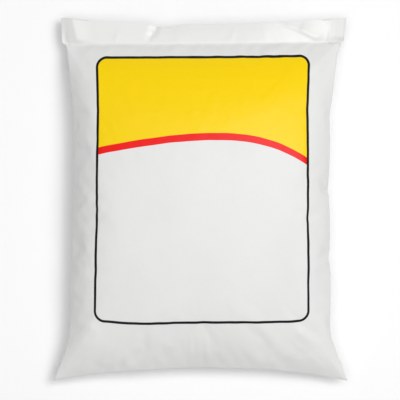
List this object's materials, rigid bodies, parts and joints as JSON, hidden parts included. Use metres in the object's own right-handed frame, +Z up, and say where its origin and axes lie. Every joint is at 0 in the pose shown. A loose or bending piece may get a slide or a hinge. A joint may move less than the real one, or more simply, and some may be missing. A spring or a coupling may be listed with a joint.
{
  "type": "cement bag",
  "caption": "Small white film bag filled with cement, lying flat like a settled pillow, with a welded bottom edge and a free two-leaf header past its top weld.",
  "frame": {"origin": "on the floor, under the middle of the bag as it lies on its back", "axes": "+Y along the bag from its bottom weld to its header, +X to the right of the printed face as it is read, +Z up out of the printed face"},
  "size_m": [0.266, 0.33, 0.0719],
  "materials": {
    "white_film": "satin-gloss opaque white polyethylene film, printed on its upper face",
    "grey_cement": "dry loose grey powder"
  },
  "bodies": {
    "root": {"film_bag": "white_film", "cement_fill": "grey_cement"}
  },
  "joints": []
}
